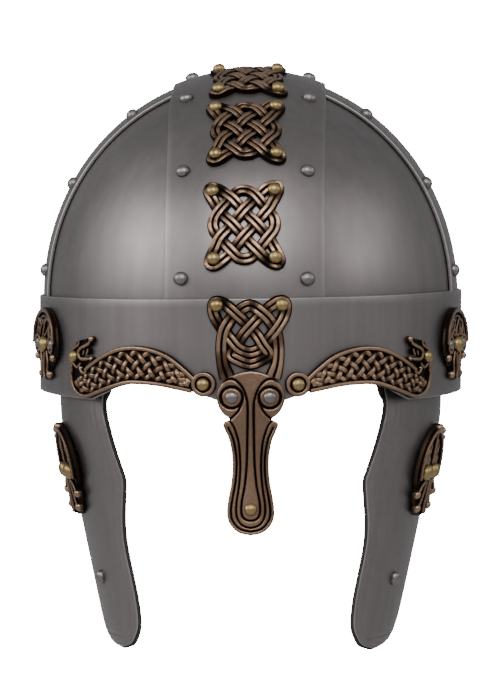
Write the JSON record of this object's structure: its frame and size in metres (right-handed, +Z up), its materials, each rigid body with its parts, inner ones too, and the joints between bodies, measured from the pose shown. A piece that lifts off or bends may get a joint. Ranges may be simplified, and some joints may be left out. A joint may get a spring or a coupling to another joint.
{
  "type": "norse iron helmet",
  "caption": "Spangenhelm-style iron helmet: skull plates under crossing straps, brow band with eye arches, bronze nasal and knotwork mounts, hanging cheek guards.",
  "frame": {"origin": "middle of the head opening, level with the lower edge of the brow band: where the helmet sits on a head", "axes": "+Z up towards the crown, -Y the way the face looks, +X the wearer's left side, which is the viewer's right from in front"},
  "size_m": [0.2138, 0.2535, 0.2812],
  "materials": {
    "iron_sheet": "satin darkened iron, faint upright brushing",
    "rivet_iron": "round hammered iron heads, satin",
    "bronze": "brown cast bronze, worn bright on the ridges, black patina in the hollows",
    "rivet_brass": "dull gold brass rivet heads",
    "leather": "near black vegetable tanned leather with a rough cut edge"
  },
  "bodies": {
    "root": {"band_rivet_1": "rivet_iron", "band_rivet_2": "rivet_iron", "band_rivet_3": "rivet_iron", "band_rivet_4": "rivet_iron", "brow_band": "iron_sheet", "brow_knot": "bronze", "brow_plate_left": "bronze", "brow_plate_right": "bronze", "cheek_guard_left": "iron_sheet", "cheek_guard_right": "iron_sheet", "cheek_lining_left": "leather", "cheek_lining_right": "leather", "cheek_mount_left": "bronze", "cheek_mount_right": "bronze", "guard_rivet_left_1": "rivet_iron", "guard_rivet_right_1": "rivet_iron", "knot_plate_back_1": "bronze", "knot_plate_back_2": "bronze", "knot_plate_back_3": "bronze", "knot_plate_front_1": "bronze", "knot_plate_front_2": "bronze", "knot_plate_front_3": "bronze", "lateral_strap": "iron_sheet", "nasal": "bronze", "nasal_rivet_1": "rivet_iron", "nasal_rivet_2": "rivet_iron", "sagittal_strap": "iron_sheet", "side_rivet_1": "rivet_iron", "side_rivet_10": "rivet_iron", "side_rivet_11": "rivet_iron", "side_rivet_12": "rivet_iron", "side_rivet_2": "rivet_iron", "side_rivet_3": "rivet_iron", "side_rivet_4": "rivet_iron", "side_rivet_5": "rivet_iron", "side_rivet_6": "rivet_iron", "side_rivet_7": "rivet_iron", "side_rivet_8": "rivet_iron", "side_rivet_9": "rivet_iron", "skull_plate_back_left": "iron_sheet", "skull_plate_back_right": "iron_sheet", "skull_plate_front_left": "iron_sheet", "skull_plate_front_right": "iron_sheet", "strap_rivet_1": "rivet_iron", "strap_rivet_10": "rivet_iron", "strap_rivet_11": "rivet_iron", "strap_rivet_12": "rivet_iron", "strap_rivet_13": "rivet_iron", "strap_rivet_14": "rivet_iron", "strap_rivet_2": "rivet_iron", "strap_rivet_3": "rivet_iron", "strap_rivet_4": "rivet_iron", "strap_rivet_5": "rivet_iron", "strap_rivet_6": "rivet_iron", "strap_rivet_7": "rivet_iron", "strap_rivet_8": "rivet_iron", "strap_rivet_9": "rivet_iron", "temple_mount_left": "bronze", "temple_mount_right": "bronze"}
  },
  "joints": []
}
